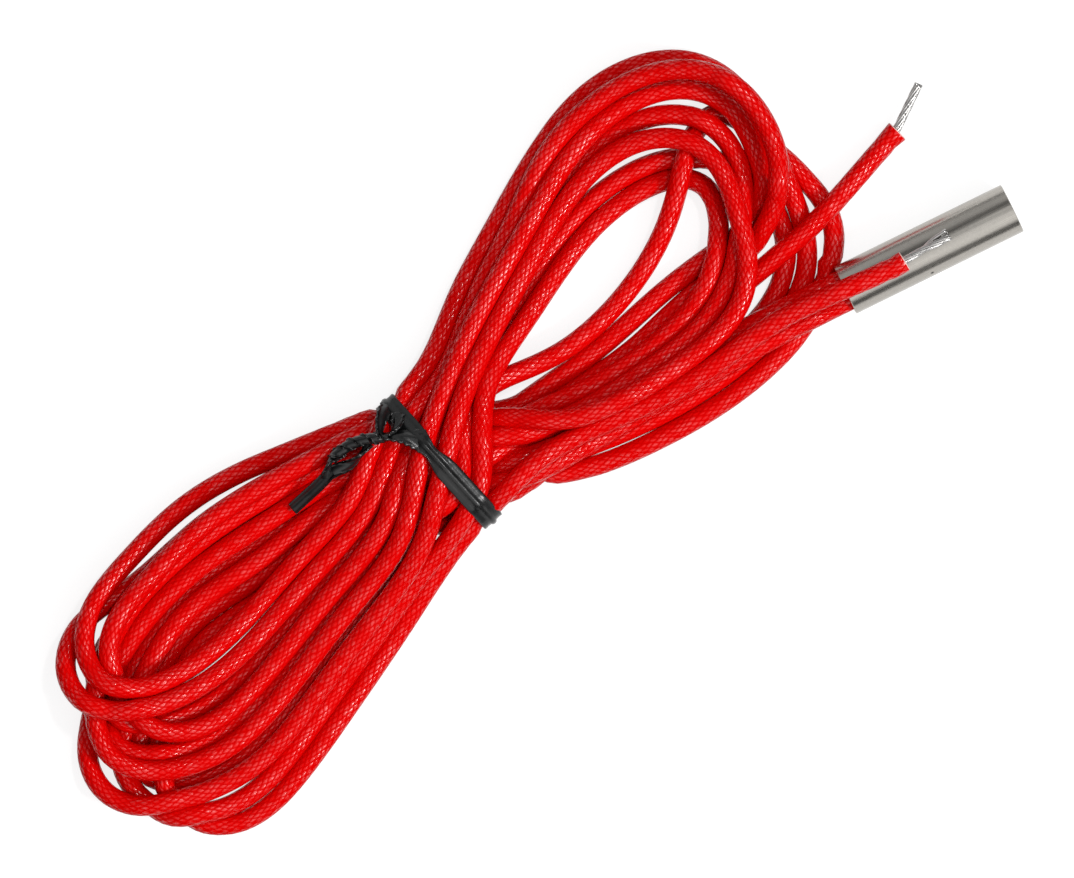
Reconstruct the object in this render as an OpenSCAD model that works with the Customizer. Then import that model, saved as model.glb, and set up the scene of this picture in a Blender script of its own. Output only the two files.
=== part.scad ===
// Cartridge heater with two braided leads, wound into a figure-of-eight hank and held by a twist tie.
// It lies on a table: the sheath's axis runs along X with the closed end at +X,
// and the origin is on the table under the middle of the sheath. Millimetres.

/* [Sheath] */
// Outside diameter of the sheath, which is the bore that it slides into
sheath_d = 6; // [5.8:0.1:10]
// Length of the sheath
sheath_l = 21.5; // [20:0.5:40]
// Wall of the sheath
sheath_wall = 0.3; // [0.2:0.05:0.4]
// Edge break at both ends of the sheath
sheath_edge = 0.1; // [0.05:0.01:0.15]
// Thickness of the welded end disc
end_disc_t = 0.8; // [0.5:0.1:1.5]

/* [Heating core] */
// Thickness of the ceramic disc between the end disc and the core
base_t = 0.8; // [0.5:0.1:1.5]
// Length of the ceramic core
core_l = 12.5; // [8:0.5:13.5]
// Diameter of the two bores through the core
core_bore_d = 1.05; // [1:0.01:1.15]
// Thickness of compacted powder between the coil and the sheath
fill_t = 0.36; // [0.2:0.01:0.45]
// Diameter of the resistance wire
coil_wire_d = 0.2; // [0.12:0.01:0.25]
// Turns of resistance wire on the core
coil_turns = 18; // [8:1:24]
// Thickness of the ceramic cap on the lead end of the core
cap_t = 1.2; // [0.8:0.1:1.8]

/* [Leads] */
// Room between a braided lead and the bore of the sheath that it enters
lead_clear = 0.25; // [0.2:0.01:0.35]
// Gap between the two leads where they leave the sheath
lead_gap = 0.1; // [0.06:0.02:0.2]
// Depth of the lead's braid inside the seal
lead_depth = 3; // [2:0.1:3.5]
// Diameter of the stranded conductor
conductor_d = 0.95; // [0.7:0.01:0.95]
// Length of tinned conductor at the free end of each lead
tip_l = 6; // [3:0.5:10]
// Height of the second lead's free end above the sheath that it lies over
tail_lift = 0.7; // [0.6:0.1:1.2]

/* [Hank] */
// Height of the hank's two lobes
hank_h = 9.2; // [9.1:0.1:12]
// Width of the bundle inside the tie
waist_w = 18; // [14:0.5:19]
// Height of the bundle inside the tie
waist_h = 8; // [6:0.5:8.2]

/* [Twist tie] */
// Width of the tie's ribbon
tie_w = 2.8; // [2:0.1:4]
// Thickness of the tie's ribbon at its wire
tie_t = 0.6; // [0.6:0.1:1]
// Length of the twisted stretch
tie_twist_l = 11; // [8:0.5:14]
// Full turns in the twisted stretch
tie_twist_turns = 2; // [1:0.5:4]
// Width of the two ends where they are twisted together
tie_pair_w = 2.2; // [1.8:0.1:2.8]
// Thickness of the two ends where they are twisted together
tie_pair_t = 1.2; // [0.8:0.1:1.6]
// Length of the flat tail past the twist
tie_tail_l = 7; // [4:0.5:12]
// Width of the flat tail past the twist
tie_tail_w = 2; // [1.4:0.1:2.8]

/* [Hidden] */

// Clearance between pieces that are packed together inside the sheath
fit_gap = 0.02;
// Gap at each end of the core, where the resistance wire crosses to its conductor
wire_gap = coil_wire_d + 2 * fit_gap;
// Clearance between the bundle and the tie
tie_gap = 0.1;

// Round outlines, and the coarser rounds of the hank and the swept cords
round_fn = 96;
hank_fn = 32;
cord_sides = 8;
coil_sides = 6;
coil_steps = 12;

sheath_r = sheath_d / 2;
bore_r = sheath_r - sheath_wall;
filled_r = bore_r - fit_gap;
axis_z = sheath_r;
mouth_x = -sheath_l / 2;
// The two leads lie side by side in the bore and fill it but for their clearances
lead_d = bore_r - lead_clear - lead_gap / 2;
lead_r = lead_d / 2;
lead_y = (lead_d + lead_gap) / 2;

// Places along the axis, from the closed end to the mouth
disc_x = sheath_l / 2 - end_disc_t;
base_x = disc_x - fit_gap - base_t;
core_x1 = base_x - wire_gap;
core_x0 = core_x1 - core_l;
cap_x = core_x0 - wire_gap - cap_t;
seal_x = cap_x - fit_gap;
seal_l = seal_x - mouth_x;

// From the sheath inwards: powder, coil, core
fill_r = filled_r - fill_t;
coil_r = fill_r - fit_gap - coil_wire_d / 2;
core_r = coil_r - coil_wire_d / 2 - fit_gap;
coil_x0 = core_x0 - wire_gap / 2;
coil_x1 = core_x1 + wire_gap / 2;
conductor_r = conductor_d / 2;
// A conductor starts face to face with its lead's braid, inside the seal
conductor_x = mouth_x + lead_depth;

// Cord routes and hank outline are measured from the sheath's mouth: x from the mouth, y from the axis.
// Flat faces of the hank, where the leads go in and where the first lead's free end comes out
hank_face_x = -9;
hank_side_x = 1.5;
// Nearest that the hank comes to the sheath and its leads, beside the axis
hank_clear_y = 4.4;
tail_b_z = sheath_d + tail_lift + lead_r;
// Free ends: where each braid is cut, and the heading of its tip in plan
tail_a_end = [13.5, 14, 1.5];
tail_a_turn = 24;
tail_b_end = [7.5, 0, tail_b_z];
tail_b_turn = 5;
// Straight stretch at each end of a free end, so that it meets its neighbours squarely
tail_straight = 2.5;
tail_a_route = [
    [hank_side_x, 9.4, 5], [hank_side_x + tail_straight, 9.4, 5], [8, 11.4, 3.2],
    tail_a_end - tail_straight * heading(tail_a_turn), tail_a_end,
];
tail_b_route = [
    [hank_face_x, 0.4, tail_b_z], [hank_face_x + tail_straight, 0.4, tail_b_z], [-1, 0.2, tail_b_z],
    tail_b_end - tail_straight * heading(tail_b_turn), tail_b_end,
];
// Circles that each lobe of the hank is stretched round: x, y, radius
right_lobe = [[-46, 4, 8.2], [-32, 17, 9], [-10, 22.5, 12.5], [-5, 8.5, 7.5], [-19, 0, 6.6]];
left_lobe = [[-55, 3, 9], [-76, 4, 9.2], [-91, -2, 10.5], [-91, -13, 11.5], [-84, -14, 10]];
// Opening that stays clear in the middle of the right lobe
window = [[-36, 10.5, 1.2], [-24, 13.2, 2.8], [-13, 15, 2]];

// The tie stands across the hank where its lobes cross
tie_x = -50.5;
tie_y = 3;
tie_turn = 15;
tie_loop_w = waist_w + 2 * tie_gap;
tie_loop_h = waist_h + 2 * tie_gap;
waist_z = tie_t + tie_gap + waist_h / 2;
tie_top_z = waist_z + tie_loop_h / 2 + tie_t;
// The twist starts on the band's top and bites into it by this much
tie_bite = 0.1;
tie_twist_y = 3;
tie_twist_turn = 153;
tie_tail_turn = 34;

steel = "#a9a6a3";
ceramic = "#efece4";
cement = "#d9d2c4";
nichrome = "#8c8880";
tinned = "#c9cacb";
braid_red = "#d3120f";
tie_black = "#1d1f20";

// Shapes that several pieces share

// A solid turned about the X axis, between two stations
module rod(r, x0, x1) {
    translate([x0, 0, axis_z]) rotate([0, 90, 0]) cylinder(r = r, h = x1 - x0, $fn = round_fn);
}

// The places of the two leads, +1 and -1, beside the axis
module at_lead(side) {
    translate([0, side * lead_y, 0]) children();
}

module both_leads() {
    for (side = [1, -1]) at_lead(side) children();
}

module at_mouth() {
    translate([mouth_x, 0, 0]) children();
}

function unit(v) = v / norm(v);

function heading(turn) = [cos(turn), sin(turn), 0];

function direction(path, i) = unit(path[min(i + 1, len(path) - 1)] - path[max(i - 1, 0)]);

// One ring of a swept tube. The side vector is square to the tangent and to the reference.
function ring(path, i, r, sides, reference) =
    let (along = direction(path, i), side = unit(cross(reference, along)), up = cross(along, side))
    [for (k = [0 : sides - 1]) path[i] + r * (cos(360 * k / sides) * side + sin(360 * k / sides) * up)];

// A closed tube of constant radius along a list of points
module swept_tube(path, r, sides, reference) {
    last = len(path) - 1;
    points = [for (i = [0 : last]) each ring(path, i, r, sides, reference)];
    walls = [
        for (i = [0 : last - 1], k = [0 : sides - 1])
            let (n = (k + 1) % sides)
            [i * sides + k, (i + 1) * sides + k, (i + 1) * sides + n, i * sides + n]
    ];
    start = [for (k = [0 : sides - 1]) k];
    end = [for (k = [sides - 1 : -1 : 0]) last * sides + k];
    polyhedron(points, concat([start], walls, [end]), convexity = 10);
}

module cord(path) {
    swept_tube(path, lead_r, cord_sides, [0, 0, 1]);
}

// An outline stretched round circles given as x, y, radius
module stretched(circles) {
    hull() for (c = circles) translate([c[0], c[1]]) circle(r = c[2], $fn = hank_fn);
}

// A flat bundle's section: a rectangle with round ends, w wide and h high
module bundle_section(w, h) {
    square([w - h, h], center = true);
    for (side = [1, -1]) translate([side * (w - h) / 2, 0]) circle(d = h, $fn = round_fn);
}

// A bundle section carried along the hank for a length, centred on the tie
module across_tie(w, h, length) {
    translate([tie_x, tie_y, waist_z]) rotate([0, 0, tie_turn]) rotate([90, 0, 90])
        translate([0, 0, -length / 2]) linear_extrude(length) bundle_section(w, h);
}

// The heater

module sheath() {
    color(steel) translate([-sheath_l / 2, 0, axis_z]) rotate([0, 90, 0]) rotate_extrude($fn = round_fn)
        polygon([
            [bore_r, 0], [sheath_r - sheath_edge, 0], [sheath_r, sheath_edge],
            [sheath_r, sheath_l - sheath_edge], [sheath_r - sheath_edge, sheath_l], [bore_r, sheath_l],
        ]);
}

module end_disc() {
    color(steel) rod(filled_r, disc_x, sheath_l / 2);
}

module base_insulator() {
    color(ceramic) rod(filled_r, base_x, base_x + base_t);
}

module ceramic_core() {
    color(ceramic) difference() {
        rod(core_r, core_x0, core_x1);
        both_leads() rod(core_bore_d / 2, core_x0 - 1, core_x1 + 1);
    }
}

// The wire starts on conductor a at the lead end and finishes on conductor b at the closed end
module heating_coil() {
    inner_y = lead_y + conductor_r + coil_wire_d / 2 + fit_gap;
    half_turns = 2 * coil_turns + 1;
    steps = half_turns * coil_steps / 2;
    winding = [
        for (i = [0 : steps])
            let (turn = 180 * half_turns * i / steps, x = coil_x0 + (coil_x1 - coil_x0) * i / steps)
            [x, coil_r * cos(turn), axis_z + coil_r * sin(turn)]
    ];
    legs = [[coil_x0, inner_y, axis_z], [coil_x1, -inner_y, axis_z]];
    color(nichrome) swept_tube(concat([legs[0]], winding, [legs[1]]), coil_wire_d / 2, coil_sides, [1, 0, 0]);
}

module powder_fill() {
    color(cement) difference() {
        rod(filled_r, core_x0 - wire_gap, core_x1 + wire_gap);
        rod(fill_r, core_x0 - wire_gap - 1, core_x1 + wire_gap + 1);
    }
}

module core_cap() {
    color(ceramic) difference() {
        rod(filled_r, cap_x, cap_x + cap_t - fit_gap);
        both_leads() rod(core_bore_d / 2, cap_x - 1, cap_x + cap_t + 1);
    }
}

module lead_seal() {
    color(cement) difference() {
        rod(filled_r, mouth_x, seal_x);
        both_leads() {
            rod(core_bore_d / 2, mouth_x - 1, seal_x + 1);
            rod(lead_r, mouth_x - 1, mouth_x + lead_depth);
        }
    }
}

// The first conductor ends inside the near end of the core, and the second goes right through it
module conductor_a() {
    color(tinned) at_lead(1) rod(conductor_r, conductor_x, core_x0 + core_bore_d);
}

module conductor_b() {
    color(tinned) at_lead(-1) rod(conductor_r, conductor_x, core_x1 + wire_gap - fit_gap);
}

// The leads

module lead_root(side) {
    stations = [lead_depth, 0, -3, -6, hank_face_x];
    color(braid_red) at_mouth() cord([for (x = stations) [x, side * lead_y, axis_z]]);
}

module lead_a_root() {
    lead_root(1);
}

module lead_b_root() {
    lead_root(-1);
}

module hank_outline() {
    difference() {
        union() {
            stretched(right_lobe);
            stretched(left_lobe);
        }
        stretched(window);
        translate([hank_side_x, -50]) square(100);
        translate([hank_face_x, hank_clear_y - 100]) square(100);
    }
}

// Both lobes, cut in round the waist so that the tie passes under and over the bundle
module lead_hank() {
    groove_l = tie_w + 2 * tie_gap;
    reach = 4 * waist_w;
    color(braid_red) at_mouth() difference() {
        linear_extrude(hank_h) hank_outline();
        difference() {
            translate([tie_x, tie_y, 0]) rotate([0, 0, tie_turn]) cube([groove_l, reach, reach], center = true);
            across_tie(waist_w, waist_h, 2 * groove_l);
        }
    }
}

module lead_a_tail() {
    color(braid_red) at_mouth() cord(tail_a_route);
}

module lead_b_tail() {
    color(braid_red) at_mouth() cord(tail_b_route);
}

// Tinned strands that stand out of a lead's cut end
module lead_tip(route, turn) {
    color(tinned) at_mouth() translate(route[len(route) - 1]) rotate([0, 0, turn]) rotate([0, 90, 0])
        cylinder(d = conductor_d, h = tip_l, $fn = round_fn);
}

module lead_a_tip() {
    lead_tip(tail_a_route, tail_a_turn);
}

module lead_b_tip() {
    lead_tip(tail_b_route, tail_b_turn);
}

// The tie: one ribbon taken round the bundle, its two ends twisted together and laid flat

module tie_band() {
    difference() {
        across_tie(tie_loop_w + 2 * tie_t, tie_loop_h + 2 * tie_t, tie_w);
        across_tie(tie_loop_w, tie_loop_h, tie_w + 1);
    }
}

module tie_ends() {
    twisted = [tie_pair_w, tie_pair_t];
    // Half the diagonal of the twisted pair, which is the radius that it sweeps
    sweep_r = norm(twisted) / 2;
    translate([tie_x, tie_y, tie_top_z - tie_bite + sweep_r])
        rotate([0, 0, tie_turn]) translate([0, tie_twist_y, 0]) rotate([0, 0, tie_twist_turn]) {
            rotate([0, 90, 0]) rotate([0, 0, 90])
                linear_extrude(tie_twist_l, twist = 360 * tie_twist_turns, slices = 16 * tie_twist_turns)
                    square(twisted, center = true);
            translate([tie_twist_l, 0, 0]) rotate([0, 0, tie_tail_turn])
                translate([-tie_t, -tie_tail_w / 2, -tie_t / 2]) cube([tie_tail_l + tie_t, tie_tail_w, tie_t]);
        }
}

module twist_tie() {
    color(tie_black) at_mouth() {
        tie_band();
        tie_ends();
    }
}

sheath();
end_disc();
base_insulator();
ceramic_core();
heating_coil();
powder_fill();
core_cap();
lead_seal();
conductor_a();
conductor_b();
lead_a_root();
lead_b_root();
lead_hank();
lead_a_tail();
lead_b_tail();
lead_a_tip();
lead_b_tip();
twist_tie();
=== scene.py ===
# %% [markdown]
# A cartridge heater with its leads tied in a hank
#
# A cartridge heater is a short ground steel tube with a heating coil packed inside it. It slides into a
# bored hole in a die, a mould or a printer's hot end, and two leads in red glass braid bring the
# current. Sold new, the leads are wound in a figure of eight and held by a black twist tie, and that is
# how it lies here.
#
# The solid model gives the frame: the origin is on the table under the middle of the tube, the tube
# runs along X with its closed end at +X, and Z is up. Blender counts in metres, so lengths below are
# written in millimetres and multiplied by MM when an object is made.

# %% Load the frame
import math

import bpy
import numpy as np
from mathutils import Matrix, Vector


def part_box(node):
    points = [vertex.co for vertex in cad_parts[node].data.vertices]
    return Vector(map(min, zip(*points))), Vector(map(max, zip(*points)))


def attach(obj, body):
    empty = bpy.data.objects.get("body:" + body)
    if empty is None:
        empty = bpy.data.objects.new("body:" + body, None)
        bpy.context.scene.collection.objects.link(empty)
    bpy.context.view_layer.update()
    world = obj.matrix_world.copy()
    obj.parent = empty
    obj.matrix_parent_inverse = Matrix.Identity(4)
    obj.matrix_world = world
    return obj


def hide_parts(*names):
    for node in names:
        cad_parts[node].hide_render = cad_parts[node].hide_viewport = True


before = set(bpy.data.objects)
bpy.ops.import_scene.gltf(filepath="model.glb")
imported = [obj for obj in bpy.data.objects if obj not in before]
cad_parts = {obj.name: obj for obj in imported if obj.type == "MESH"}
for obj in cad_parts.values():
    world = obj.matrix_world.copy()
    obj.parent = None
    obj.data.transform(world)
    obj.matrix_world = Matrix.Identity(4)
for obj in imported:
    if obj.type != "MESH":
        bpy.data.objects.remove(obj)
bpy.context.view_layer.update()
MM = 0.001
sheath_low, sheath_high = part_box("sheath")
MOUTH = np.array([sheath_low[0] / MM, 0.0, 0.0])
SHEATH_R = (sheath_high[2] - sheath_low[2]) / MM / 2
print("The tube's mouth is at x =", round(float(MOUTH[0]), 2), "mm and its radius is",
      round(SHEATH_R, 2), "mm")

# %% [markdown]
# The camera looks straight down, as the picture does, because neither end face of the tube can be seen.
# A very long lens at 2.5 m keeps the view nearly free of perspective. The turn about Z puts the tube at
# its slant.

# %% Camera
VIEW_WIDTH = 123.9
CAMERA_HEIGHT = 2500.0
VIEW_CENTRE = (-50.2, 0.3)
VIEW_TURN = -26.2
camera_data = bpy.data.cameras.new("camera")
camera_data.sensor_width = 36.0
camera_data.lens = camera_data.sensor_width * (CAMERA_HEIGHT - SHEATH_R) / VIEW_WIDTH
camera = bpy.data.objects.new("camera", camera_data)
camera.location = (VIEW_CENTRE[0] * MM, VIEW_CENTRE[1] * MM, CAMERA_HEIGHT * MM)
camera.rotation_euler = (0.0, 0.0, math.radians(VIEW_TURN))
bpy.context.collection.objects.link(camera)
bpy.context.scene.camera = camera
print("Lens", round(camera_data.lens), "mm")

# %% [markdown]
# The leads come first, because everything else lies on or under them.
#
# Each lead leaves the tube, runs to the tie, and then goes round and round: out along the upper side of
# the left lobe, back along its lower side, through the tie, up the right lobe, over its top and back to
# the tie. So the hank is a figure of eight. Rows of guide points mark the outer and inner edges of each
# stream of strands, in millimetres from the tube's mouth, and every turn is worked out between them.

# %% Guide rows for the streams of strands
LEAD_D = 2.4
RIGHT_OUTER = [(-46.4, 10.2), (-39.4, 17), (-33.9, 21.2), (-28.6, 25.3), (-23.8, 29), (-18.4, 31.2),
               (-12.5, 32.3), (-6.5, 31.4), (-2.1, 28.3), (-0.1, 23.8), (-0.4, 19.3), (-0.9, 14.8),
               (-5.2, 9), (-10.5, 4.7), (-17.5, 1.3), (-26, -0.3), (-36.5, 0)]
RIGHT_INNER = [(-43.6, 7), (-37.5, 10.6), (-33.9, 12.5), (-30.4, 14.3), (-26.6, 16.3), (-22.9, 17.5),
               (-18.8, 18.5), (-15.2, 18.4), (-12.1, 17.6), (-10.6, 16.5), (-10.9, 15), (-12, 13.6),
               (-15, 11.8), (-19.3, 9.7), (-25.4, 7.7), (-32.5, 5.6), (-41, 4)]
UPPER_OUTER = [(-59, 10), (-65.5, 11), (-72, 11.6), (-78, 11.3), (-84, 10.1), (-89, 7.5)]
UPPER_INNER = [(-62, 3), (-68, 1), (-73, -0.5), (-78, -1.5), (-82.5, -2), (-86.5, -3)]
LOWER_INNER = [(-90.5, -5.5), (-85.5, -5.5), (-80, -4), (-74.5, -2), (-69.5, 0), (-64.5, 2), (-59.5, 4)]
LOWER_OUTER = [(-92.4, -23.1), (-87.6, -23.9), (-82.2, -22.1), (-75.8, -19), (-69.3, -15.4),
               (-62.8, -12), (-56.6, -8.3)]
BAND = np.array([(-53.5, 12.5), (-48, -6.5)])
print("The right lobe's guides have", len(RIGHT_OUTER), "points each")

# %% [markdown]
# Five turns of the right lobe lie between its two guides. Their three numbers say how far in from the
# outer guide the turn is on its way out, at the far right and on its way back. The other three turns
# stray: one crosses the lobe's opening, and all three dip under the rest on the right, so they have
# rows of their own. A turn that changes its place in the stack on the way is split into named parts:
# RIGHT_PARTS lists each part with the point where it ends, and what is left is the way back.

# %% Turns of the right lobe
RIGHT_TURNS = {"r2": (0.0, 0.0, 0.64), "r4": (0.14, 0.13, 0.85), "r5": (0.31, 0.4, 0.2),
               "r6": (0.46, 0.62, 0.0), "r7": (0.85, 0.8, 0.42)}
# The guide points between which the three shares change over, and the one where the way back begins.
SHARE_POINTS = [6, 9, 11, 13]
BACK_POINT = 11
STRAY_TURNS = {
    "r1": [(-47.7, 12.1), (-41.7, 18), (-35.1, 22.4), (-30.2, 25.9), (-24.7, 29.4), (-19.3, 32.6),
           (-13, 33.8), (-7, 32.9), (-3, 30), (-1.2, 25.5), (-0.9, 20.5), (-0.9, 16), (-1, 12),
           (-1, 10), (-1.8, 6.4), (-3, 4), (-6, 1.2), (-11, -1), (-18, -2.6), (-27, -3), (-37.5, -2)],
    "r3": [(-44.4, 7.9), (-38, 12.8), (-34, 15.4), (-29.9, 18), (-25.8, 20.5), (-21.6, 22), (-17, 22.8),
           (-13, 22.7), (-9.2, 21.7), (-6.2, 19.4), (-4.4, 16.6), (-3.6, 13.4), (-3.5, 10), (-4.6, 6.8),
           (-6.5, 3.8), (-10.5, 1.4), (-17, 0), (-26, -0.6), (-36.5, -0.4)],
    "r8": [(-44, 8.5), (-40.5, 8), (-34, 8), (-26.5, 9.5), (-19, 13), (-14, 17), (-10, 21),
           (-7.2, 24.4), (-4.4, 25.6), (-2.2, 24), (-1.3, 20.5), (-0.4, 16.8), (1.2, 13.8), (2.2, 11.2),
           (2.3, 7.8), (1, 4.4), (-1.2, 2.2), (-4, -0.2), (-9, -2.9), (-17, -5), (-26, -5.6),
           (-37.5, -4.2)],
}
RIGHT_PARTS = {"r1": [("r1_out", 8)], "r3": [("r3_out", 7)], "r7": [("r7_out", 5)],
               "r8": [("r8_low", 3), ("r8_out", 7)]}
print(len(RIGHT_TURNS) + len(STRAY_TURNS), "turns in the right lobe")

# %% [markdown]
# A turn of the left lobe is placed between the upper guides, by its share near the tie and at the far
# end, swings round the left end through a few points of its own, and comes back between the lower
# guides.

# %% Turns of the left lobe
LEFT_TURNS = {
    "l1": ((0.18, 0.3), [(-93, 3), (-95.3, 0.3), (-96.3, -3.5), (-95.3, -8.5)], 0.36),
    "l2": ((0.2, 0.33), [(-92, 5), (-95.3, 4.3), (-98.2, 2.4), (-99.8, 0.1), (-100.1, -2.9),
                         (-97.8, -5.9), (-94, -7.5)], 0.14),
    "l3": ((0.0, 0.0), [(-93.4, 6), (-95.8, 3.6), (-96.8, 0.8), (-96.4, -2.5), (-94.5, -5)], 0.0),
    "l4": ((0.3, 0.38), [(-91, 3), (-94.5, -1), (-98, -5.5), (-99.5, -10), (-96.5, -13.5)], 0.56),
    "l5": ((0.46, 0.5), [(-90, 1.6), (-95.5, -3.2), (-100.3, -7.2), (-102.3, -11.3), (-101.6, -15.4),
                         (-98.2, -18.4)], 0.78),
    "l6": ((0.6, 0.6), [(-89, 0), (-95, -4.5), (-98.5, -8), (-98.5, -11), (-96, -13)], 0.47),
    "l7": ((0.8, 0.8), [(-88.5, -2.5), (-94, -6.5), (-97.3, -11), (-98.4, -15.3), (-95.9, -19)], 0.89),
    "l8": ((1.0, 1.0), [(-90, -4.5), (-94.4, -9), (-96.6, -14.6), (-96, -19.5)], 1.0),
    "l9": ((0.4, 0.44), [(-90, 2.6), (-94, -0.2), (-97, -3.5), (-97, -7), (-94, -9.5)], 0.25),
    "l10": ((0.92, 0.92), [(-88.5, -4), (-93.5, -7.5), (-97, -11), (-97.5, -14), (-95, -16.5)], 0.66),
}
print(len(LEFT_TURNS), "turns in the left lobe")

# %% [markdown]
# The ends of the leads aren't coiled: these follow the solid model's own routes closely, with a few
# points added where they run into the hank. The first point of a root is inside the cement, and the
# last of a tail is where the braid is cut.

# %% Free stretches
LEAD_Y = 1.25
FREE = {
    "root_a": [(3, LEAD_Y), (0, LEAD_Y), (-3, LEAD_Y), (-6, LEAD_Y), (-9, LEAD_Y), (-16, 1),
               (-23.5, 0.5), (-34, 0.5), (-40.5, 0)],
    "root_b": [(3, -LEAD_Y), (0, -LEAD_Y), (-3, -LEAD_Y), (-6, -LEAD_Y), (-9, -LEAD_Y), (-16, -1.7),
               (-25, -2), (-35, -2.5), (-41, -2.5)],
    "tail_a": [(-37.5, 2), (-30.5, 2.5), (-19.5, 4), (-8, 6.5), (-3, 7.6), (1.5, 9), (4, 10), (8, 11.6),
               (11.2, 13), (13.5, 13.8)],
    "tail_b": [(-37.5, -1.5), (-27, -1.5), (-17, -1), (-9, 0.4), (-6.5, 0.4), (-1, 0.2), (5, -0.2),
               (7.5, 0)],
}
print(len(FREE), "free stretches")

# %% [markdown]
# Each lead's whole way is a chain of these stretches. Where a chain passes the tie it takes one more
# point on the tie's line. The strands of the right lobe's upper side and the left lobe's lower side go
# over the others there. The laying order lists every half turn from the table upwards, so that what is
# on top in the picture is on top here.

# %% Chains and laying order
CHAINS = {
    "a": ["root_a", "l6", "r8", "l9", "r5", "l4", "r4", "l3", "r1", "l10", "tail_a"],
    "b": ["root_b", "l7", "r7", "l5", "r6", "l1", "r3", "l2", "r2", "l8", "tail_b"],
}
OVER_AT_TIE = ["l3", "l2", "l1", "l4", "l9", "l5", "l10", "l6", "l7", "l8"]
UNDER_AT_TIE = ["l3", "l1", "l2", "l4", "l9", "l5", "l6", "l7", "l10", "l8"]
LAYING_ORDER = (
    "r8_back r1_back r3_back r2_back r4_back tail_a root_a root_b r7_back r5_back r6_back "
    "l10_out l8_out l9_out l7_out l6_out l5_out l2_out l4_out l1_out l3_out "
    "l10_back l9_back l6_back l8_back l7_back l5_back l4_back l1_back l3_back l2_back "
    "r8_low r7_out r3_out r8_out r6_out r5_out r1_out r2_out r4_out tail_b"
).split()
print("Laid in order:", len(LAYING_ORDER), "parts")

# %% [markdown]
# From these tables a chain's points are put together in plan. Every point also keeps the name of its
# part, because the part's place in the laying order sets its first height.

# %% Points of a chain
# The outermost strands pass the tie this share of its width in from its ends.
TIE_MARGIN = 0.1


def between(outer, inner, share):
    """Points at a share of the way from one guide row to the other."""
    share = np.asarray(share, float)[..., None]
    return (1 - share) * np.array(outer, float) + share * np.array(inner, float)


def half_turns(name):
    """The rows of one stretch of a chain, as (part, points) pairs in the order they are passed."""
    if name in FREE:
        return [(name, np.array(FREE[name], float))]
    if name[0] == "l":
        upper, round_end, lower = LEFT_TURNS[name]
        half = len(round_end) // 2
        share = np.linspace(*upper, len(UPPER_OUTER))
        out = np.vstack([between(UPPER_OUTER, UPPER_INNER, share), round_end[:half]])
        back = np.vstack([round_end[half:], between(LOWER_INNER, LOWER_OUTER, lower)])
        return [(name + "_out", out), (name + "_back", back)]
    if name in STRAY_TURNS:
        row = np.array(STRAY_TURNS[name], float)
    else:
        out, right, back = RIGHT_TURNS[name]
        share = np.interp(np.arange(len(RIGHT_OUTER)), SHARE_POINTS, [out, right, right, back])
        row = between(RIGHT_OUTER, RIGHT_INNER, share)
    parts = []
    begin = 0
    first_parts = RIGHT_PARTS.get(name, [(name + "_out", BACK_POINT)])
    for part, end in first_parts + [(name + "_back", len(row))]:
        parts.append((part, row[begin:end]))
        begin = end
    return parts


def tie_point(order, name):
    """A strand's place on the tie's line, by its place in that order."""
    share = TIE_MARGIN + (1 - 2 * TIE_MARGIN) * order.index(name) / (len(order) - 1)
    return BAND[0] + share * (BAND[1] - BAND[0])


def chain_rows(names):
    """All points of a chain in plan, and the part that each belongs to."""
    points = []
    parts = []
    for name in names:
        for part, row in half_turns(name):
            if part[0] == "l" and part.endswith("_out"):
                points.append(tie_point(UNDER_AT_TIE, name))
                parts.append(part)
            points.extend(row)
            parts.extend([part] * len(row))
            if part[0] == "l" and part.endswith("_back"):
                points.append(tie_point(OVER_AT_TIE, name))
                parts.append(part)
    return np.array(points), parts


for label, names in CHAINS.items():
    print("Lead", label, "goes through", len(chain_rows(names)[0]), "points")

# %% [markdown]
# A smooth curve goes through each chain's points. It is a centripetal spline, which doesn't overshoot
# where points are unevenly spaced, cut into equal steps. Each step starts at a height by its place in
# the laying order.

# %% Smooth chains
STEP = 0.8
FIRST_LIFT = 0.2
SPLINE_STEPS = 24
# One pass moves each point towards the middle of its neighbours and the next moves it back, a little
# further, so that kinks go and the lobes keep their size.
SMOOTHING = [0.5, -0.52] * 30
SMOOTH_REACH = 3
# A strand climbs from one height to the next over this many points each way.
CLIMB = 7


def through(points):
    """A fine centripetal spline through points, with SPLINE_STEPS steps from each point to the next."""
    ends = np.vstack([2 * points[0] - points[1], points, 2 * points[-1] - points[-2]])
    fine = []
    for i in range(len(points) - 1):
        a, b, c, d = ends[i:i + 4]
        t1 = np.linalg.norm(b - a) ** 0.5
        t2 = t1 + np.linalg.norm(c - b) ** 0.5
        t3 = t2 + np.linalg.norm(d - c) ** 0.5
        t = np.linspace(t1, t2, SPLINE_STEPS, endpoint=False)[:, None]
        ab = a + (b - a) * t / t1
        bc = b + (c - b) * (t - t1) / (t2 - t1)
        cd = c + (d - c) * (t - t2) / (t3 - t2)
        abc = ab + (bc - ab) * t / t2
        bcd = bc + (cd - bc) * (t - t1) / (t3 - t1)
        fine.append(abc + (bcd - abc) * (t - t1) / (t2 - t1))
    return np.vstack(fine + [points[-1:]])


def even_steps(line, step):
    """The same line cut into equal steps, and the old line's index at each new point."""
    gaps = np.linalg.norm(np.diff(line, axis=0), axis=1)
    travel = np.concatenate([[0.0], np.cumsum(gaps)])
    marks = np.linspace(0.0, travel[-1], int(round(travel[-1] / step)) + 1)
    cut = np.column_stack([np.interp(marks, travel, line[:, k]) for k in range(line.shape[1])])
    return cut, np.interp(marks, travel, np.arange(len(line)))


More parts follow.
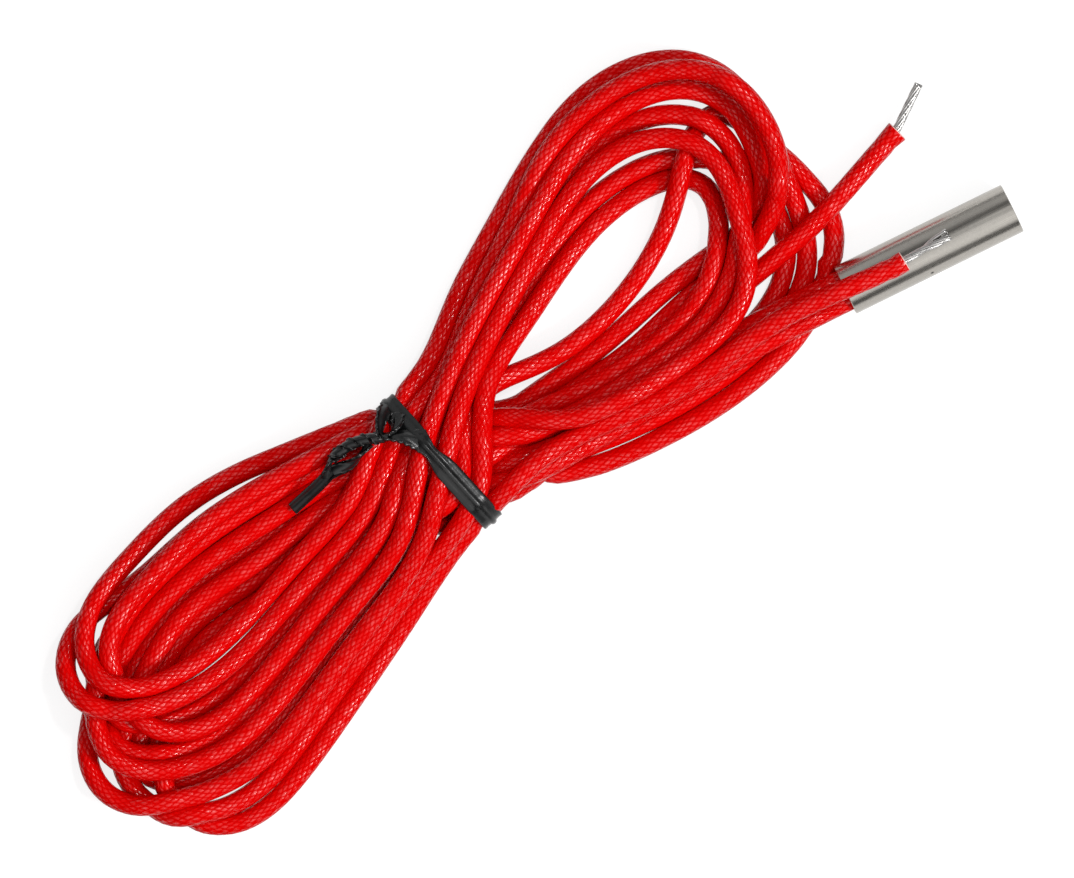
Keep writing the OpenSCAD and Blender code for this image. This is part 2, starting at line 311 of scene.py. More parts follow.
def averaged(values, reach):
    """A running mean that keeps the ends."""
    padded = np.concatenate([np.repeat(values[:1], reach), values, np.repeat(values[-1:], reach)])
    return np.convolve(padded, np.ones(2 * reach + 1) / (2 * reach + 1), "valid")


def first_lay(names):
    """A chain's first line: its plan, and a height by laying order."""
    points, parts = chain_rows(names)
    plan, place = even_steps(through(points), STEP)
    inner = slice(SMOOTH_REACH, -SMOOTH_REACH)
    for gain in SMOOTHING:
        middle = (plan[:-2 * SMOOTH_REACH] + plan[2 * SMOOTH_REACH:]) / 2
        plan[inner] += gain * (middle - plan[inner])
    rank = [LAYING_ORDER.index(parts[int(round(p / SPLINE_STEPS))]) for p in place]
    height = LEAD_D / 2 + FIRST_LIFT * averaged(np.array(rank, float), CLIMB)
    return np.column_stack([plan, height])


lines = [first_lay(names) for names in CHAINS.values()]

# %% [markdown]
# Now the strands settle, a little at a time. Weight pulls them down, the table stops them, two strands
# that come nearer than one diameter push each other apart, the tie holds its bundle in, and stiffness
# evens out every push along the strand. The plan is held softly, so that the hank keeps the picture's
# outline. It is a plain loop over arrays with no random numbers, so it gives the same lay every time.

# %% Numbers for settling
SETTLE_STEPS = 500
TIE_HALF_W = 9.0
TIE_TOP = 8.9
TIE_UNDER = 0.9
TIE_HALF_DEPTH = 2.0
# Points nearer than NEAR may touch. They are looked for again every few steps, and points of one bend
# don't count.
NEAR = 3.2
LOOK_AGAIN = 15
SAME_BEND = 9
# In one step a strand sinks by WEIGHT, goes back by a share PLAN_HOLD towards its plan, and evens its
# pushes out over three lengths. Two that touch part by a share PUSH of what they overlap, and less
# sideways than upwards.
WEIGHT = 0.02
PLAN_HOLD = 0.02
STIFFNESS = ((1, 0.3), (3, 0.2), (6, 0.1))
PUSH = 0.25
PUSH_SHARES = np.array([0.6, 0.6, 1.0])
# The points that stay fixed at the root and at the cut end, and a point that is well clear of the root.
ROOT_HELD = 7
TAIL_HELD = 4
CLEAR_OF_ROOT = 100
# The tube is felt from a little before its mouth, and the second lead's tail is over it from here on.
MOUTH_MARGIN = 0.8
TAIL_OVER_X = -2
TINY = 1e-9
start = np.vstack(lines)
first_of_b = len(lines[0])
lead_of = np.repeat([0, 1], [len(line) for line in lines])
along = np.concatenate([np.arange(len(line)) for line in lines])
free = np.ones(len(start), bool)
across = (BAND[1] - BAND[0]) / np.linalg.norm(BAND[1] - BAND[0])
through_tie = np.array([-across[1], across[0]])
print(len(start), "points to settle in", SETTLE_STEPS, "steps")

# %% [markdown]
# To find which strands touch, space is divided into cubes as wide as the reach. A point is then
# compared only with those in its own cube and the cubes around it, which is much faster than with all
# others. The tie and the tube are limits: each pass takes up half of what goes beyond them.

# %% Contacts, tie and tube
TAKE_UP = 0.5


def contacts(p, reach):
    """Pairs of points nearer than reach that aren't close along one lead, found cell by cell."""
    cells = {}
    for i, key in enumerate(map(tuple, np.floor(p / reach).astype(int))):
        cells.setdefault(key, []).append(i)
    left = []
    right = []
    for (x, y, z), members in cells.items():
        around = [cells.get((x + i, y + j, z + k), [])
                  for i in (-1, 0, 1) for j in (-1, 0, 1) for k in (-1, 0, 1)]
        around = np.array(sum(around, []))
        for i in members:
            j = around[around > i]
            j = j[np.linalg.norm(p[j] - p[i], axis=1) < reach]
            j = j[(lead_of[j] != lead_of[i]) | (np.abs(along[j] - along[i]) > SAME_BEND)]
            left.extend([i] * len(j))
            right.extend(j)
    return np.array(left, int), np.array(right, int)


def hold_in_tie(p):
    """The tie keeps what passes through it inside its loop."""
    off = p[:, :2] - BAND.mean(axis=0)
    inside = np.abs(off @ through_tie) < TIE_HALF_DEPTH
    place = off @ across
    room = TIE_HALF_W - LEAD_D / 2
    excess = np.clip(place, -room, room) - place
    p[inside, :2] += TAKE_UP * np.outer(excess, across)[inside]
    high = inside & (p[:, 2] > TIE_TOP - LEAD_D / 2)
    p[high, 2] = (p[high, 2] + TIE_TOP - LEAD_D / 2) / 2
    p[inside, 2] = np.maximum(p[inside, 2], TIE_UNDER + LEAD_D / 2)


def clear_tube(p):
    """Strands beside the tube stay outside it."""
    off = p[:, 1:] - np.array([0.0, SHEATH_R])
    distance = np.linalg.norm(off, axis=1)
    inside = free & (p[:, 0] > -MOUTH_MARGIN) & (distance < SHEATH_R + LEAD_D / 2)
    push = (SHEATH_R + LEAD_D / 2 - distance) / distance
    p[inside, 1:] += TAKE_UP * (push[:, None] * off)[inside]


print("Contacts at first:", len(contacts(start, LEAD_D)[0]))

# %% [markdown]
# The loop itself. Before it starts, the roots are fixed at the tube's mouth and the cut ends at their
# places in the solid model. The second lead's tail lies over the tube, which holds it up.

# %% Settle the hank
TAIL_A_Z = 1.5
TAIL_B_Z = 7.9
CLOSE_SHARE = 0.75


def settle(p, steps):
    """Moves the points step by step. Two passes in each let contact, tie, tube and table agree."""
    flat_start = start * np.array([1.0, 1.0, 0.0])
    for count in range(steps):
        if count % LOOK_AGAIN == 0:
            left, right = contacts(p, NEAR)
        p[free, 2] -= WEIGHT
        for part in (slice(0, first_of_b), slice(first_of_b, None)):
            q = p[part]
            shift = q - flat_start[part]
            for reach, gain in STIFFNESS:
                change = gain * ((shift[:-2 * reach] + shift[2 * reach:]) / 2 - shift[reach:-reach])
                change[~free[part][reach:-reach]] = 0.0
                q[reach:-reach] += change
        p[free, :2] += PLAN_HOLD * (start[free, :2] - p[free, :2])
        for _ in range(2):
            gap = p[right] - p[left]
            distance = np.linalg.norm(gap, axis=1) + TINY
            push = np.clip(LEAD_D - distance, 0, None) / distance * PUSH
            push = push[:, None] * gap * PUSH_SHARES
            total = np.zeros_like(p)
            touching = np.zeros(len(p))
            np.add.at(total, left, -push)
            np.add.at(total, right, push)
            np.add.at(touching, left, distance < LEAD_D)
            np.add.at(touching, right, distance < LEAD_D)
            p[free] += (total / np.sqrt(np.maximum(touching, 1))[:, None])[free]
            hold_in_tie(p)
            clear_tube(p)
            p[free, 2] = np.maximum(p[free, 2], LEAD_D / 2)
    return p


for begin, end, tail_z in ((0, first_of_b, TAIL_A_Z), (first_of_b, len(start), TAIL_B_Z)):
    free[begin:begin + ROOT_HELD] = False
    free[end - TAIL_HELD:end] = False
    start[begin:begin + ROOT_HELD, 2] = SHEATH_R
    start[end - TAIL_HELD:end, 2] = tail_z
over_tube = (lead_of == 1) & (start[:, 0] > TAIL_OVER_X) & (along > CLEAR_OF_ROOT)
free[over_tube] = False
start[over_tube, 2] = TAIL_B_Z
settled = settle(start.copy(), SETTLE_STEPS)
lines = [settled[:first_of_b], settled[first_of_b:]]
left, right = contacts(settled, NEAR)
nearest = np.linalg.norm(settled[left] - settled[right], axis=1)
print("Highest strand axis", round(float(settled[:, 2].max()), 1), "mm; nearest two strands",
      round(float(nearest.min()), 2), "mm;", int((nearest < CLOSE_SHARE * LEAD_D).sum()), "close pairs")

# %% [markdown]
# Each lead is a mesh tube along its settled line. A curve with a round bevel would give the same shape,
# but a mesh can carry a UV map in real millimetres, which the braid's pattern needs. A frame carried
# along without twisting keeps the braid's pattern from spiralling, and the UV map counts turns round
# the lead in U and millimetres along it in V.

# %% Mesh helpers
def frames(line):
    """Unit vectors along the line and two across it, carried along without twist."""
    ahead = np.gradient(line, axis=0)
    ahead /= np.linalg.norm(ahead, axis=1)[:, None]
    side = np.zeros_like(line)
    side[0] = np.cross(ahead[0], (0.0, 0.0, 1.0))
    for i in range(1, len(line)):
        side[i] = side[i - 1] - ahead[i] * np.dot(side[i - 1], ahead[i])
        side[i] /= np.linalg.norm(side[i])
    side[0] /= np.linalg.norm(side[0])
    return ahead, side, np.cross(ahead, side)


def mesh_object(name, points, faces):
    """A mesh in the frame, from points in millimetres measured from the tube's mouth."""
    mesh = bpy.data.meshes.new(name)
    mesh.from_pydata([tuple((np.asarray(p) + MOUTH) * MM) for p in points], [], faces)
    mesh.polygons.foreach_set("use_smooth", [True] * len(mesh.polygons))
    thing = bpy.data.objects.new(name, mesh)
    bpy.context.collection.objects.link(thing)
    return thing


def skin(rings, first, closed=False):
    """The faces between rings of points, counted from first."""
    count = len(rings[0])
    faces = []
    for i in range(len(rings) - (0 if closed else 1)):
        j = (i + 1) % len(rings)
        here = first + i * count
        there = first + j * count
        for k in range(count):
            n = (k + 1) % count
            faces.append((here + k, here + n, there + n, there + k))
    if not closed:
        last = first + (len(rings) - 1) * count
        faces.append(tuple(range(first + count - 1, first - 1, -1)))
        faces.append(tuple(range(last, last + count)))
    return faces


def tube(name, line, radius, sides, cut):
    """A tube with a radius for each ring and a UV map. The cut end's rings are (offset, radius) pairs."""
    ahead, side, up = frames(line)
    turn = 2 * np.pi * np.arange(sides) / sides
    centres = list(line) + [line[-1] + offset * ahead[-1] for offset, _ in cut]
    radii = list(radius) + [r for _, r in cut]
    places = list(range(len(line))) + [len(line) - 1] * len(cut)
    rings = [c + r * (np.outer(np.cos(turn), side[i]) + np.outer(np.sin(turn), up[i]))
             for c, r, i in zip(centres, radii, places)]
    travel = np.concatenate([[0.0], np.cumsum(np.linalg.norm(np.diff(centres, axis=0), axis=1))])
    corners = []
    for i in range(len(rings) - 1):
        for k in range(sides):
            corners += [(k / sides, travel[i]), ((k + 1) / sides, travel[i]),
                        ((k + 1) / sides, travel[i + 1]), (k / sides, travel[i + 1])]
    corners += [(0.0, 0.0)] * (2 * sides)
    thing = mesh_object(name, np.vstack(rings), skin(rings, 0))
    layer = thing.data.uv_layers.new(name="UVMap")
    layer.data.foreach_set("uv", np.array(corners, float).ravel())
    inner = [0] * (sides * (len(line) - 1)) + [1] * (sides * len(cut)) + [0, 1]
    thing.data.polygons.foreach_set("material_index", inner)
    return thing


# %% [markdown]
# The braid is cut square. At its end the rim flares a little and shows the pale ends of its yarns,
# round the inner sleeve, so four small rings close the tube there.

# %% Leads
SIDES = 16
FLARE = {"a": 0.16, "b": 0.04}
FLARE_L = 1.6
leads = {}
for label, line in zip(CHAINS, lines):
    from_end = np.linalg.norm(line - line[-1], axis=1)
    near_cut = np.clip(1 - from_end / FLARE_L, 0, 1) * (np.arange(len(line)) > CLEAR_OF_ROOT)
    flared = LEAD_D / 2 + FLARE[label] * near_cut
    cut = [(0.08, flared[-1] - 0.03), (0.11, flared[-1] - 0.12), (0.05, 0.98), (-0.15, 0.3)]
    leads[label] = tube("lead_" + label, line, flared, SIDES, cut)
    print(leads[label].name, "has", len(leads[label].data.polygons), "faces")

# %% [markdown]
# The tie's loop is found where both leads cut the upright plane across the bundle. Each cut is a disc,
# and the loop is the tightest outline round all the discs, as a pulled ribbon makes.

# %% Outline of the bundle at the tie
TIE_CENTRE = BAND.mean(axis=0)
BUNDLE_REACH = 14.0


def cuts_at_tie():
    """Where the strands pass the tie's plane: place across the bundle, and height."""
    found = []
    for line in lines:
        off = line[:, :2] - TIE_CENTRE
        depth = off @ through_tie
        place = off @ across
        for i in np.flatnonzero((depth[:-1] * depth[1:] <= 0) & (np.abs(place[:-1]) < BUNDLE_REACH)):
            share = depth[i] / (depth[i] - depth[i + 1])
            found.append((place[i] + share * (place[i + 1] - place[i]),
                          line[i, 2] + share * (line[i + 1, 2] - line[i, 2])))
    return np.array(found)


def hull(points):
    """The points of the tightest closed outline, anticlockwise."""
    order = sorted(map(tuple, points))
    rims = []
    for run in (order, order[::-1]):
        rim = []
        for p in run:
            while len(rim) > 1 and ((rim[-1][0] - rim[-2][0]) * (p[1] - rim[-2][1])
                                    - (rim[-1][1] - rim[-2][1]) * (p[0] - rim[-2][0])) <= 0:
                rim.pop()
            rim.append(p)
        rims += rim[:-1]
    return np.array(rims)


TIE_T = 0.35
DISC_POINTS = 36
LOOP_STEP = 0.5
cuts = cuts_at_tie()
turn = np.linspace(0, 2 * np.pi, DISC_POINTS, endpoint=False)
circle = (LEAD_D / 2 + TIE_T / 2) * np.column_stack([np.cos(turn), np.sin(turn)])
discs = np.vstack([c + circle for c in cuts])
loop, _ = even_steps(np.vstack([hull(discs), hull(discs)[:1]]), LOOP_STEP)
print(len(cuts), "strands pass the tie; its loop is", round(float(np.ptp(loop[:, 0])), 1), "mm wide and",
      round(float(np.ptp(loop[:, 1])), 1), "mm high")

# %% [markdown]
# A twist tie is a flat plastic ribbon with a wire along its middle. Its cross-section here is two thin
# wings and the raised rib over the wire. The loop closes on top, from where the two ends run twisted
# together, and one of them goes on as a short flat tail. A curve with this section as its bevel could
# be used, but rings set one by one let the ribbon turn, narrow and crease where it should.

# %% Twist tie
TIE_W = 2.7
RIB_R = 0.42


def ribbon_section(width, rib):
    """The closed outline of the ribbon, as (across, off the face) pairs: a thin wing, then the rib."""
    half = width / 2
    flat = TIE_T / 2
    upper = [(half, 0.0), (half - 0.1, flat), (0.75, flat * 0.8), (0.42, flat), (0.25, rib * 0.85),
             (0.0, rib)]
    upper += [(-a, b) for a, b in upper[-2::-1]]
    return np.array(upper + [(a, -b) for a, b in upper[-2:0:-1]])


def ribbon(line, wide, widths, rib):
    """Rings of a ribbon along a line: wide is the direction across it at each point."""
    ahead = np.gradient(line, axis=0)
    ahead /= np.linalg.norm(ahead, axis=1)[:, None]
    rings = []
    for i, point in enumerate(line):
        w = wide[i] - ahead[i] * np.dot(wide[i], ahead[i])
        w /= np.linalg.norm(w)
        section = ribbon_section(widths[i], rib)
        rings.append(point + np.outer(section[:, 0], w) + np.outer(section[:, 1], np.cross(ahead[i], w)))
    return rings


# The band is drawn narrower at one place on its top, where the first end comes off it.
PINCH = np.array([-50.6, 4.4])
PINCH_REACH = 1.5
PINCH_SHARE = 0.45
TOP_SIDE = 5
band_line = np.column_stack([TIE_CENTRE + np.outer(loop[:-1, 0], across), loop[:-1, 1]])
from_pinch = np.linalg.norm(band_line[:, :2] - PINCH, axis=1)
pinched = np.exp(-(from_pinch / PINCH_REACH) ** 2) * (band_line[:, 2] > TOP_SIDE)
band_wide = np.tile(np.append(through_tie, 0.0), (len(band_line), 1))
band_rings = ribbon(band_line, band_wide, TIE_W * (1 - PINCH_SHARE * pinched), RIB_R)
tie_points = list(band_rings)
tie_faces = skin(band_rings, 0, closed=True)
print("The band has", len(band_rings), "rings")

# %% [markdown]
# The loose ends lie on the strands beside the band. Each stretch of ribbon follows a few points and
# turns about its own line on the way, and two of them wound round each other make the rope.

# %% Twisted ends
UP = np.array([0.0, 0.0, 1.0])
ROUTE_STEP = 0.12
# How fast the creases follow each other, how deep they are in the rope, and how far the wire's rib stands
# off a loose end.
CREASE_PACE = 0.9
ROPE_CREASE = 0.14
END_RIB = 0.34


def add_ribbon(line, wide, width, crease, rib):
    """One more stretch of ribbon on the tie, with small creases along its edges."""
    widths = width * (1 + crease * np.sin(np.arange(len(line)) * CREASE_PACE))
    rings = ribbon(line, wide, widths, rib)
    tie_faces.extend(skin(rings, sum(map(len, tie_points))))
    tie_points.extend(rings)


def ribbon_route(points):
    """A smooth line through points, and the level direction across it."""
    line, _ = even_steps(through(np.array(points, float)), ROUTE_STEP)
    flat = np.cross(UP, np.gradient(line, axis=0))
    return line, flat / np.linalg.norm(flat, axis=1)[:, None]


def turned(points, first_turn, turns, width, crease=0.1, rib=END_RIB):
    """A stretch of ribbon that turns about its own line."""
    line, flat = ribbon_route(points)
    share = np.linspace(0, 1, len(line))
    angle = 2 * np.pi * (first_turn + turns * share)[:, None]
    width = np.interp(share, [0, 1], width)
    add_ribbon(line, flat * np.cos(angle) + UP * np.sin(angle), width, crease, rib)


def roped(points, turns, apart, width):
    """Two ribbons wound round each other."""
    line, flat = ribbon_route(points)
    angle = 2 * np.pi * turns * np.linspace(0, 1, len(line))[:, None]
    spin = np.cos(angle) * flat + np.sin(angle) * UP
    for sign in (1, -1):
        wide = np.cos(angle) * UP - np.sin(angle) * flat
        add_ribbon(line + sign * apart * spin, wide, width, ROPE_CREASE, END_RIB)


# Both ends come off the band, one from the pinch and one from the upper end of the loop, and are wound
# together. Between them lies a short fold of the ribbon.
turned([(-51.3, 5.8, 8.5), (-52.9, 7.2, 8.4), (-54.4, 8, 8.3), (-55.8, 8.5, 8.2)], 0.02, 0.2, (2.7, 1.5))
turned([(-53.2, 11.3, 6), (-53.8, 10.9, 6.9), (-54.6, 10.2, 7.7), (-55.8, 8.5, 8.2)], 0.02, -0.25,
       (1.8, 1.5))
turned([(-52.5, 10, 6.9), (-53.2, 8.9, 7.7), (-54.6, 7.9, 8.2)], 0.0, 0.3, (1.7, 1.3))
roped([(-55.3, 8.3, 8.2), (-57.4, 9, 8), (-59.2, 9.2, 7.5), (-61.4, 8.7, 7.2)], 2.1, 0.34, 1.5)
# One of them is folded back in a small open leaf, and the other goes on as the flat tail.
turned([(-57, 8.5, 7.8), (-58.6, 7.6, 7.4), (-60.2, 7.2, 7), (-61.8, 7.3, 6.8), (-62.7, 7.2, 6.6)],
       0.1, 0.5, (1.4, 1.3))
turned([(-60.6, 9, 7.3), (-62, 8.5, 7.1), (-62.7, 7.6, 6.9), (-63, 7, 6.6)], 0.05, 0.4, (1.7, 1.8))
turned([(-62.3, 7.4, 6.8), (-64.5, 6.6, 6.2), (-66.4, 6.05, 5.5), (-68.3, 5.5, 5)], 0.08, -0.03,
       (1.6, 1.35), crease=0.01, rib=0.3)
tie = mesh_object("tie", np.vstack(tie_points), tie_faces)
print("The tie has", len(tie.data.polygons), "faces")

# %% [markdown]
# The tube is one turned profile: a plain ground cylinder with its edges broken by a few hundredths of a
# millimetre. A bevelled cylinder would look alike, but a profile takes its wall and edges from real
# sizes, and many steps round it keep its reflections straight. The closing disc and the cement in its
# mouth are the solid model's own.

# %% Tube
SHEATH_L = (sheath_high[0] - sheath_low[0]) / MM
WALL = 0.3
BORE_R = SHEATH_R - WALL
EDGE = 0.06
LATHE_STEPS = 128
SHARP_ANGLE = 30
profile = [(0.0, BORE_R), (0.0, SHEATH_R - EDGE), (EDGE, SHEATH_R), (SHEATH_L - EDGE, SHEATH_R),
           (SHEATH_L, SHEATH_R - EDGE), (SHEATH_L, BORE_R)]
turn = 2 * np.pi * np.arange(LATHE_STEPS) / LATHE_STEPS
rings = [np.column_stack([np.full(LATHE_STEPS, x), r * np.cos(turn), SHEATH_R + r * np.sin(turn)])
         for x, r in profile]
tube_body = mesh_object("tube", np.vstack(rings), skin(rings, 0, closed=True))
tube_body.data.set_sharp_from_angle(angle=math.radians(SHARP_ANGLE))
print("The tube is", round(SHEATH_L, 2), "mm long")

# %% [markdown]
# Each lead ends in a stripped length of stranded copper, twisted and tinned. Seven strands wind round
# each other, six round one, close enough for the solder to fill the grooves. One rod with a bump would
# look flat from near, so each strand is a thin tube. The second tip is pressed flatter, so its strands
# are spread.

# %% Tinned tips
TIP_L = 6.0
STRAND_R = 0.21
OUTER = 6
STRAND_SIDES = 10
STRAND_TURNS = 0.8
WINDING_R = 0.31
TIP_POINTS = 24
# The strands begin inside the braid, and a tip's bend is over after a third of its length.
TIP_ROOT = 1.5
BEND_PACE = 3


def tip(name, end, heading, bend, spread):
    """A twisted tip from the cut end of the braid, as one mesh of seven strands."""
    share = np.linspace(0, 1, TIP_POINTS)
    angle = heading + bend * np.clip(share * BEND_PACE, 0, 1)
    course = np.column_stack([np.cos(angle), np.sin(angle), 0 * angle])
    course = course * (TIP_L + TIP_ROOT) / (TIP_POINTS - 1)
    core_line = end + np.cumsum(course, axis=0) - course[0]
    core_line = core_line - TIP_ROOT * course[0] / np.linalg.norm(course[0])
    beside = np.column_stack([-np.sin(angle), np.cos(angle), 0 * angle])
    points = []
    faces = []
    for k in range(OUTER + 1):
        out = 0.0 if k == OUTER else WINDING_R
        wind = 2 * np.pi * (k / OUTER + share * STRAND_TURNS)
        apart = spread * share ** 2 * (0 if k == OUTER else 1 if k < OUTER / 2 else -1)
        wide = out * np.cos(wind) * (1 - 0.4 * spread * share) + apart
        high = out * np.sin(wind) * (1 - 0.5 * spread * share)
        core = core_line + wide[:, None] * beside + np.outer(high, (0, 0, 1))
        turn = 2 * np.pi * np.arange(STRAND_SIDES) / STRAND_SIDES
        _, side, up = frames(core)
        rings = [c + STRAND_R * (np.outer(np.cos(turn), s) + np.outer(np.sin(turn), u))
                 for c, s, u in zip(core, side, up)]
        faces += skin(rings, sum(map(len, points)))
        points += rings
    return mesh_object(name, np.vstack(points), faces)


# Heading and bend in degrees, and how far the strands spread.
TIPS = {"a": (20.0, 18.0, 0.0), "b": (3.0, 2.0, 0.3)}
tips = {}
for label, line in zip(CHAINS, lines):
    heading, bend, spread = TIPS[label]
    tips[label] = tip("tip_" + label, line[-1], math.radians(heading), math.radians(bend), spread)
print("Two tips", TIP_L, "mm long")

# %% [markdown]
# Materials. One function turns a screen colour into the linear numbers that shaders use, and one adds a
# node, with its settings and whatever feeds it. A mix node's colours are its inputs 6 and 7, and its
# mixed colour is output 2. Noise is counted in lumps to a millimetre, so its scale is that number over
# MM.

# %% Material helpers
def linear(code):
    """A hex screen colour as linear red, green, blue and alpha."""
    shares = [int(code[i:i + 2], 16) / 255 for i in (1, 3, 5)]
    return tuple(s / 12.92 if s <= 0.04045 else ((s + 0.055) / 1.055) ** 2.4 for s in shares) + (1.0,)


def add(tree, kind, inputs, out=0, **settings):
    """Adds a shader node with settings, feeds its inputs with values or links, returns one output."""
    made = tree.nodes.new("ShaderNode" + kind)
    for key, value in settings.items():
        setattr(made, key, value)
    for key, value in inputs.items():
        if isinstance(value, bpy.types.NodeSocket):
            tree.links.new(value, made.inputs[key])
        else:
            made.inputs[key].default_value = value
    return made.outputs[out]


def blank(name):
    """A new material's tree, with only its output left."""
    material = bpy.data.materials.new(name)
    material.use_nodes = True
    tree = material.node_tree
    tree.nodes.remove(tree.nodes["Principled BSDF"])
    return material, tree


def close(tree, shader):
    """Sends a shader to the material's output."""
    tree.links.new(shader, tree.nodes["Material Output"].inputs["Surface"])


# %% [markdown]
# Glass braid. Bundles of glass yarn are braided over the wire, dyed red and varnished, so each yarn
# shows as a small shiny lozenge. An image of a braid could be wrapped round, but two slanting counts,
# one for each set of yarns, make it from the real sizes: the product of their waves is high in the
# middle of a lozenge and falls to a groove round it. The yarns wander a little, and the varnish lies
# thicker in some places, so highlights gather along the crests in patches.

# %% Glass braid
# Lozenges round the lead, and the length of one in millimetres, both judged from the picture.
YARNS = 12.0
LOZENGE = 1.3


def glass_braid():
    """Dyed yarns under a baked varnish: deep red, with small sharp highlights on the crests."""
    material, tree = blank("varnished red glass braid")
    uv = add(tree, "UVMap", {}, uv_map="UVMap")
    split = add(tree, "SeparateXYZ", {0: uv}).node
    position = add(tree, "TexCoord", {}, out="Object")
    wander = add(tree, "TexNoise", {"Vector": position, "Scale": 0.7 / MM, "Detail": 2.0})
    wander = add(tree, "Math", {0: wander, 1: 0.9}, operation="MULTIPLY")
    round_count = add(tree, "Math", {0: split.outputs[0], 1: YARNS, 2: wander}, operation="MULTIPLY_ADD")
    along_count = add(tree, "Math", {0: split.outputs[1], 1: LOZENGE}, operation="DIVIDE")
    first = add(tree, "Math", {0: round_count, 1: along_count}, operation="ADD")
    second = add(tree, "Math", {0: round_count, 1: along_count}, operation="SUBTRACT")
    waves = []
    for count in (first, second):
        wave = add(tree, "Math", {0: count, 1: math.pi}, operation="MULTIPLY")
        waves.append(add(tree, "Math", {0: wave}, operation="SINE"))
    both = add(tree, "Math", {0: waves[0], 1: waves[1]}, operation="MULTIPLY")
    height = add(tree, "Math", {0: both}, operation="ABSOLUTE")
    height = add(tree, "Math", {0: height, 1: 0.8}, operation="POWER")
    blotch = add(tree, "TexNoise", {"Vector": position, "Scale": 0.26 / MM, "Detail": 3.0})
    varnish = add(tree, "MapRange",
                  {"Value": blotch, "From Min": 0.35, "From Max": 0.65, "To Min": 0.14, "To Max": 0.32})
    deep = add(tree, "Mix", {0: blotch, 6: linear("#D40202"), 7: linear("#E80303")},
               out=2, data_type="RGBA")
    # The grooves between the lozenges are painted a darker red than their middles: painted shade in the
    # grooves.
    red = add(tree, "Mix", {0: height, 6: linear("#CE0202"), 7: deep}, out=2, data_type="RGBA")
    relief = add(tree, "Bump", {"Height": height, "Distance": 0.042 * MM, "Strength": 1.0})
    crest = add(tree, "MapRange",
                {"Value": height, "From Min": 0.3, "From Max": 0.95, "To Min": 0.03, "To Max": 0.75})
    glaze = add(tree, "TexNoise", {"Vector": position, "Scale": 0.8 / MM, "Detail": 1.0})
    glaze = add(tree, "MapRange",
                {"Value": glaze, "From Min": 0.38, "From Max": 0.62, "To Min": 0.25, "To Max": 1.2})
    crest = add(tree, "Math", {0: crest, 1: glaze}, operation="MULTIPLY")
    shader = add(tree, "BsdfPrincipled",
                 {"Base Color": red, "Roughness": varnish, "Normal": relief, "Specular IOR Level": crest})
    close(tree, shader)
    return material


braid = glass_braid()
print("Made", braid.name)

# %% [markdown]
# The tube is stainless steel, ground and then rubbed along its length: bright, with long faint streaks
# and small specks. A picture of brushed steel could be laid on it, but stretched noise follows the tube
# without a seam. The streaks change the roughness, the specks give a slight change of tone and a
# shallow bump, and one small dark pit is marked by its distance from a point on the tube.

# %% Ground stainless steel
PIT = (-0.83 * MM, -2.63 * MM, 4.44 * MM)
# Lumps to a millimetre along the tube and across it. Real streaks are finer, and are drawn coarser so
# that they show.
STREAKS = (0.06 / MM, 2.5 / MM, 2.5 / MM)


def stainless():
    """Ground steel: a bare metal whose streaks blur the lamps' bands along the tube."""
    material, tree = blank("ground stainless steel")
    position = add(tree, "TexCoord", {}, out="Object")
    stretched = add(tree, "Mapping", {"Vector": position, "Scale": STREAKS})
    grain = add(tree, "TexNoise", {"Vector": stretched, "Scale": 1.0, "Detail": 4.0})
    specks = add(tree, "TexNoise", {"Vector": position, "Scale": 2.6 / MM, "Detail": 2.0})
    finish = add(tree, "MapRange",
                 {"Value": grain, "From Min": 0.3, "From Max": 0.7, "To Min": 0.2, "To Max": 0.32})
    metal = add(tree, "Mix", {0: specks, 6: linear("#A5A19B"), 7: linear("#B4B0A9")},
                out=2, data_type="RGBA")
    relief = add(tree, "Bump", {"Height": specks, "Distance": 0.004 * MM, "Strength": 0.6})
    pit = add(tree, "VectorMath", {0: position, 1: PIT}, out="Value", operation="DISTANCE")
    pit = add(tree, "MapRange", {"Value": pit, "From Min": 0.12 * MM, "From Max": 0.26 * MM})
    metal = add(tree, "Mix", {0: pit, 6: linear("#3A3836"), 7: metal}, out=2, data_type="RGBA")
    close(tree, add(tree, "BsdfPrincipled",
                    {"Base Color": metal, "Metallic": 1.0, "Roughness": finish, "Normal": relief}))
    return material


steel = stainless()
print("Made", steel.name)

# %% [markdown]
# The remaining finishes differ only in colours, roughness and the size of their mottling, so one recipe
# makes them. Ceramic, magnesia powder and the heating wire are inside the tube, and only show if it is
# opened.

# %% Mottled finishes
def mottled(name, dark, light, lumps, rough, metallic=0.0, bump=0.0):
    """A finish that wanders between two colours and two roughnesses, so many lumps to a millimetre."""
    material, tree = blank(name)
    position = add(tree, "TexCoord", {}, out="Object")
    cloud = add(tree, "TexNoise", {"Vector": position, "Scale": lumps / MM, "Detail": 4.0})
    tone = add(tree, "Mix", {0: cloud, 6: linear(dark), 7: linear(light)}, out=2, data_type="RGBA")
    sheen = add(tree, "MapRange",
                {"Value": cloud, "From Min": 0.3, "From Max": 0.7, "To Min": rough[0], "To Max": rough[1]})
    relief = add(tree, "Bump", {"Height": cloud, "Distance": bump * MM, "Strength": 1.0})
    close(tree, add(tree, "BsdfPrincipled",
                    {"Base Color": tone, "Metallic": metallic, "Roughness": sheen, "Normal": relief}))
    return material


# Solder runs over the twisted strands and sets in small lumps, which break the bright metal's
# highlights up.
tinned = mottled("tinned copper strands", "#A09E9C", "#C8C6C4", 1.5, (0.2, 0.42), metallic=1.0, bump=0.05)
# Soft plastic is drawn over the tie's wire and creased by hand, so near black has uneven, half sharp
# highlights.
black = mottled("black tie plastic", "#060707", "#131415", 0.7, (0.22, 0.4), bump=0.08)
